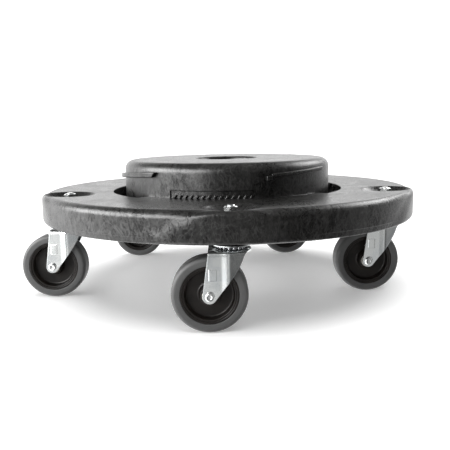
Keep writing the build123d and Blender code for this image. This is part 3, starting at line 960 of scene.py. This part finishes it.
def build_fork():
    """The sheet with its thickness, the axle's slot through both legs and the ball seat's hole."""
    fork = new_object("fork_master", *fork_sheet())
    thick = fork.modifiers.new("thickness", "SOLIDIFY")
    thick.thickness = leg_thickness * MM
    thick.offset = -1
    thick.use_even_offset = True
    bevel(fork, 0.45, 3, 60)
    bake_modifiers(fork)
    slot_centre = (-trail + fork_slot_ahead, 0, axle_height + fork_slot_above)
    tools = [
        cylinder_tool("slot_tool", slot_centre, fork_slot_radius, 60, True),
        cylinder_tool("bore_tool", (0, 0, fork_top), crown_bore, 12, False),
    ]
    for tool in tools:
        cut(fork, tool)
    bake_modifiers(fork)
    for tool in tools:
        bpy.data.objects.remove(tool)
    return fork


# The crown's domed ball seat and the race cup above it, as (radius, height, round)
crown_profile = rounded([
    (king_bore_radius, 86.1, 0.2), (9.0, 86.1, 1.4), (11.9, 82.9, 0.6), (12.7, 82.8, 0.1),
    (12.7, 81.2, 0.1), (12.4, 80.9, 0.6), (9.6, 84.1, 0.8), (king_bore_radius, 84.1, 0.2),
], 3)

cup_profile = rounded([
    (cup_bore_radius, nose_bottom, 0.2), (nose_radius, nose_bottom, 1.0),
    (cup_radius, cup_rim_height, 0.6), (cup_radius, cup_lip_bottom, 0.4),
    (cup_lip_inner_radius, cup_lip_bottom, 0.4), (cup_lip_inner_radius, cup_lip_bottom + 0.4, 0.2),
    (nose_radius, cup_under, 0.6), (cup_bore_radius, cup_under, 0.2),
], 4)


def maker_pad():
    """A plain raised rectangle on one leg."""
    width, height, proud, corner = 7.9, 11.4, 0.28, 0.9
    cx, cz = -18.9, 59.6
    outline = rounded([
        (cx + side * width / 2, cz + level * height / 2, corner)
        for side, level in ((-1, -1), (1, -1), (1, 1), (-1, 1))
    ])
    n = len(outline)
    verts, faces = [], []
    for inset, stand in ((0, -0.4), (0, proud * 0.4), (0.25, proud * 0.9), (0.8, proud)):
        for x, z in outline:
            sx = cx + (x - cx) * (1 - inset * 2 / width)
            sz = cz + (z - cz) * (1 - inset * 2 / height)
            verts.append((sx, -leg_outer - stand, sz))
    for k in range(3):
        for i in range(n):
            i2 = (i + 1) % n
            faces.append((k * n + i, k * n + i2, k * n + n + i2, k * n + n + i))
    faces.append(tuple(range(3 * n, 4 * n)))
    faces.append(tuple(range(n)))
    return verts, faces


def about_axle(radius, angle, along):
    return (-trail + radius * cos(angle), along, axle_height + radius * sin(angle))


def rivet_profile():
    """The axle's section: a pin with a dished, upset head at each end."""
    head = [
        (4.1, 17.35), (4.2, 17.4), (4.3, 17.6), (4.3, 17.95), (3.9, 18.45), (3.3, 18.7), (2.5, 18.7),
        (2.1, 18.5), (1.5, 18.3), (0.9, 18.26), (0.01, 18.25),
    ]
    return head + [(r, -y) for r, y in reversed(head)]


def both_sides(half):
    """An outline's half on one side of the wheel's middle plane, and its mirror image."""
    half = [(r, y) for r, y in half if y > 0]
    return half + [(r, -y) for r, y in reversed(half)]


def tyre_profile():
    half = rounded([
        (tyre_radius, 0, 0), (tyre_radius, tyre_half_width, tyre_shoulder),
        (tyre_bond_radius, tyre_half_width, 0.5), (tyre_bond_radius, 0, 0),
    ], 8)
    tread_half_width = 4.0
    return [(tyre_radius, -tread_half_width), (tyre_radius, tread_half_width)] + both_sides(half)


def core_profile():
    """The wheel's section: a long hub, a thin web and a stepped rim."""
    half = rounded([
        (7.5, 14.0, 0.3), (9.3, 14.0, 0.8), (10.6, 3.2, 2.6), (24.0, 3.2, 2.4), (24.9, 10.4, 0.8),
        (27.0, 10.4, 0.3), (27.1, 11.4, 0.5), (tyre_bond_radius, 11.4, 0.2), (tyre_bond_radius, 0, 0),
    ], 6)
    return both_sides(half)


def place_copy(master, name, station):
    """A copy of a caster's piece at its station."""
    obj = bpy.data.objects.new(name, master.data.copy())
    obj.data.transform(Matrix.Translation((station[0], station[1], 0)))
    bpy.context.scene.collection.objects.link(obj)
    return obj


# Each piece's master, its name, the kind of body it rides on, its finish and its CAD node
masters = [
    (build_fork(), "fork_sheet", "caster", "fork_steel", "fork"),
    (new_object("crown_master", *lathe(crown_profile, 96, upright(0, 0))),
     "swivel_crown", "caster", "fork_steel", "fork"),
    (new_object("pad_master", *maker_pad()), "plain_pad", "caster", "fork_steel", "fork"),
    (new_object("rivet_master", *lathe(rivet_profile(), 48, about_axle)),
     "axle_rivet", "caster", "zinc_steel", "axle"),
    (new_object("tyre_master", *lathe(tyre_profile(), 160, about_axle)),
     "tyre_ring", "wheel", "tread_rubber", "tyre"),
    (new_object("core_master", *lathe(core_profile(), 128, about_axle), 50),
     "wheel_centre", "wheel", "wheel_plastic", "wheel_core"),
]
for k, station in enumerate(stations, 1):
    for master, name, body, finish, node in masters:
        piece = place_copy(master, f"{name}_{k}", station)
        add_piece(piece, f"{body}_{k}", finish, f"{node}_{k}")
for master, *_ in masters:
    bpy.data.objects.remove(master)

# The race cups get a darker copy of the fork's zinc: painted shade for the shade under the platform.
race_cup_painted_shade = zinc("zinc_cup_painted_shade", (0.5, 0.52, 0.52), (0.3, 0.31, 0.31), 160, 0.03)
cups = new_object(
    "race_cup_shells",
    *join_parts([lathe(cup_profile, 96, upright(s[0] / MM, s[1] / MM)) for s in stations]),
)
add_piece(cups, "dolly_base", "fork_steel", "race_cups", race_cup_painted_shade)

# ---------------------------------------------------------------- carried-over CAD nodes
carried = {
    "zinc_steel": ["king_bolts", "hex_nuts", "nut_washers", "thrust_washers"],
    "ball_steel": [], "bush_nylon": [], "wheel_plastic": [],
}
for k in range(1, station_count + 1):
    carried["zinc_steel"].append(f"axle_sleeve_{k}")
    carried["wheel_plastic"].append(f"side_washers_{k}")
    carried["ball_steel"].append(f"swivel_balls_{k}")
    carried["bush_nylon"].append(f"wheel_bush_{k}")
for finish, names in carried.items():
    for name in names:
        node = frame["nodes"][name]
        for material_slot in node.material_slots:
            material_slot.material = finishes[finish]
bevel(frame["nodes"]["hex_nuts"], 0.4, 2, 25)
bevel(frame["nodes"]["king_bolts"], 0.25, 2, 25)

# ---------------------------------------------------------------- floor, light and camera
# Places and sizes are in metres here.


def flat_card(name, corners, material):
    """A staged flat sheet from its four corners."""
    mesh = bpy.data.meshes.new(name)
    mesh.from_pydata(corners, [], [(0, 1, 2, 3)])
    mesh.materials.append(material)
    card = bpy.data.objects.new(name, mesh)
    bpy.context.scene.collection.objects.link(card)
    return card


floor_reach = 40.0
floor = flat_card(
    "floor", [(x * floor_reach, y * floor_reach, 0) for x, y in ((-1, -1), (1, -1), (1, 1), (-1, 1))],
    plain_glow("paper", 0.92, 0.22),
)
floor.visible_glossy = False

# A white wall and a cone over it stand round the floor
backdrop_radius, backdrop_foot, backdrop_top, backdrop_hole = 39.0, -1.0, 38.0, 0.001
backdrop_section = [
    (backdrop_radius / MM, backdrop_foot / MM), (backdrop_radius / MM, backdrop_top / MM),
    (backdrop_hole / MM, backdrop_top / MM),
]
backdrop = new_object("backdrop", *lathe(backdrop_section, 48, upright(0, 0)))
backdrop.data.materials.append(plain_glow("white", 0.0, 1.2))
backdrop.visible_glossy = False
backdrop.visible_diffuse = False
backdrop.visible_shadow = False

world = bpy.data.worlds.new("studio")
bpy.context.scene.world = world
world.use_nodes = True
tree = world.node_tree
background = tree.nodes["Background"]

# The studio's brightness round the horizon: a wide soft source on the left, white paper
# behind, and a dark flag in front to the right.  Azimuths are in degrees, as above.
horizon = [
    (-180, 1.75), (-155, 2.0), (-130, 2.0), (-110, 4.0), (-60, 4.4), (-38, 2.7), (-22, 0.9),
    (-10, 0.28), (2, 0.24), (8, 0.42), (14, 0.52), (21, 0.4), (28, 0.2), (34, 0.07), (44, 0.07),
    (54, 0.2), (70, 0.42), (95, 0.75), (115, 1.1), (150, 1.6), (180, 1.75),
]
# Higher up it passes to an even ceiling, between two heights of the direction's Z
ceiling = 0.4
ceiling_from, ceiling_full = 0.3, 0.62
brightest = 4.6
direction = tree.nodes.new("ShaderNodeTexCoord").outputs["Generated"]
split = tree.nodes.new("ShaderNodeSeparateXYZ")
tree.links.new(direction, split.inputs["Vector"])


def world_math(operation, first, second):
    made = tree.nodes.new("ShaderNodeMath")
    made.operation = operation
    for socket, value in zip(made.inputs, (first, second)):
        if isinstance(value, (int, float)):
            socket.default_value = value
        else:
            tree.links.new(value, socket)
    return made.outputs["Value"]


towards_front = world_math("MULTIPLY", split.outputs["Y"], -1.0)
azimuth_angle = world_math("ARCTAN2", split.outputs["X"], towards_front)
round_share = world_math("ADD", world_math("DIVIDE", azimuth_angle, 2 * pi), 0.5)
ramp = tree.nodes.new("ShaderNodeValToRGB")
ramp.color_ramp.interpolation = "EASE"
while len(ramp.color_ramp.elements) < len(horizon):
    ramp.color_ramp.elements.new(0.5)
for stop, (azimuth, level) in zip(ramp.color_ramp.elements, horizon):
    stop.position = (azimuth + 180) / 360
    stop.color = (level / brightest,) * 3 + (1,)
tree.links.new(round_share, ramp.inputs["Fac"])
height_share = tree.nodes.new("ShaderNodeMapRange")
height_share.interpolation_type = "SMOOTHSTEP"
height_share.inputs["From Min"].default_value = ceiling_from
height_share.inputs["From Max"].default_value = ceiling_full
tree.links.new(split.outputs["Z"], height_share.inputs["Value"])
sky = tree.nodes.new("ShaderNodeMix")
sky.data_type = "RGBA"
sky.inputs["B"].default_value = (ceiling / brightest,) * 3 + (1,)
tree.links.new(height_share.outputs["Result"], sky.inputs["Factor"])
tree.links.new(ramp.outputs["Color"], sky.inputs["A"])
tree.links.new(sky.outputs["Result"], background.inputs["Color"])
background.inputs["Strength"].default_value = brightest


def softbox(name, place, target, size, power):
    """A rectangular soft light at a place, in metres, turned towards a target."""
    data = bpy.data.lights.new(name, "AREA")
    data.shape = "RECTANGLE"
    data.size, data.size_y = size
    data.energy = power
    light = bpy.data.objects.new(name, data)
    light.location = place
    light.rotation_euler = (Vector(place) - Vector(target)).to_track_quat("Z", "Y").to_euler()
    bpy.context.scene.collection.objects.link(light)
    return light


# The overhead light washes the paper and casts the soft shadow; the key is the bright
# band on the rounds.
wash = bpy.data.lights.new("overhead", "SUN")
wash.angle = radians(66)
wash.energy = 3.0
overhead = bpy.data.objects.new("overhead", wash)
overhead.visible_glossy = False
bpy.context.scene.collection.objects.link(overhead)
key = softbox("key", place=(-1.47, -0.76, 0.82), target=(0, 0, 0.1), size=(2.5, 0.95), power=126)
key.visible_diffuse = False
kicker = softbox("kicker", place=(1.0, 0.5, 0.92), target=(0, 0, 0.12), size=(0.9, 0.5), power=14)
kicker.visible_diffuse = False


def low_card(name, left, right, top, level):
    """A glowing card in front, below the floor's level, that only polished faces mirror."""
    y, bottom = -0.72, -0.2
    glow = plain_glow(name, 0.0, level)
    glow.cycles.emission_sampling = "NONE"
    corners = [(left, y, bottom), (right, y, bottom), (right, y, top), (left, y, top)]
    card = flat_card(name, corners, glow)
    card.visible_camera = False
    card.visible_diffuse = False
    card.visible_shadow = False


low_card("card_wide", -0.09, 0.08, -0.055, 0.5)
low_card("card_narrow", -0.21, -0.09, -0.03, 1.25)

# The camera stands in front, a little above the drum, and looks slightly down
sensor_width_mm = 36.0
focal_length_mm = 45.52
camera_distance = 0.7428
camera_height = 0.1959
camera_azimuth = radians(-0.974)
camera_pitch = 0.165
camera_roll = 0.017
camera_yaw = 0.005 + camera_azimuth
forwards = Vector((0, cos(camera_pitch), -sin(camera_pitch)))
rightwards = Vector((1, 0, 0))
upwards = Vector((0, sin(camera_pitch), cos(camera_pitch)))
turn = Matrix.Rotation(camera_yaw, 3, "Z")
forwards, rightwards, upwards = turn @ forwards, turn @ rightwards, turn @ upwards
across = cos(camera_roll) * rightwards - sin(camera_roll) * upwards
above = sin(camera_roll) * rightwards + cos(camera_roll) * upwards
camera_data = bpy.data.cameras.new("camera")
camera_data.sensor_width = sensor_width_mm
camera_data.lens = focal_length_mm
camera_data.clip_end = 200
camera = bpy.data.objects.new("camera", camera_data)
pose = Matrix((across, above, -forwards)).transposed().to_4x4()
pose.translation = (
    camera_distance * sin(camera_azimuth), -camera_distance * cos(camera_azimuth), camera_height
)
camera.matrix_world = pose
bpy.context.scene.collection.objects.link(camera)
bpy.context.scene.camera = camera
bpy.context.scene.view_settings.view_transform = "Standard"
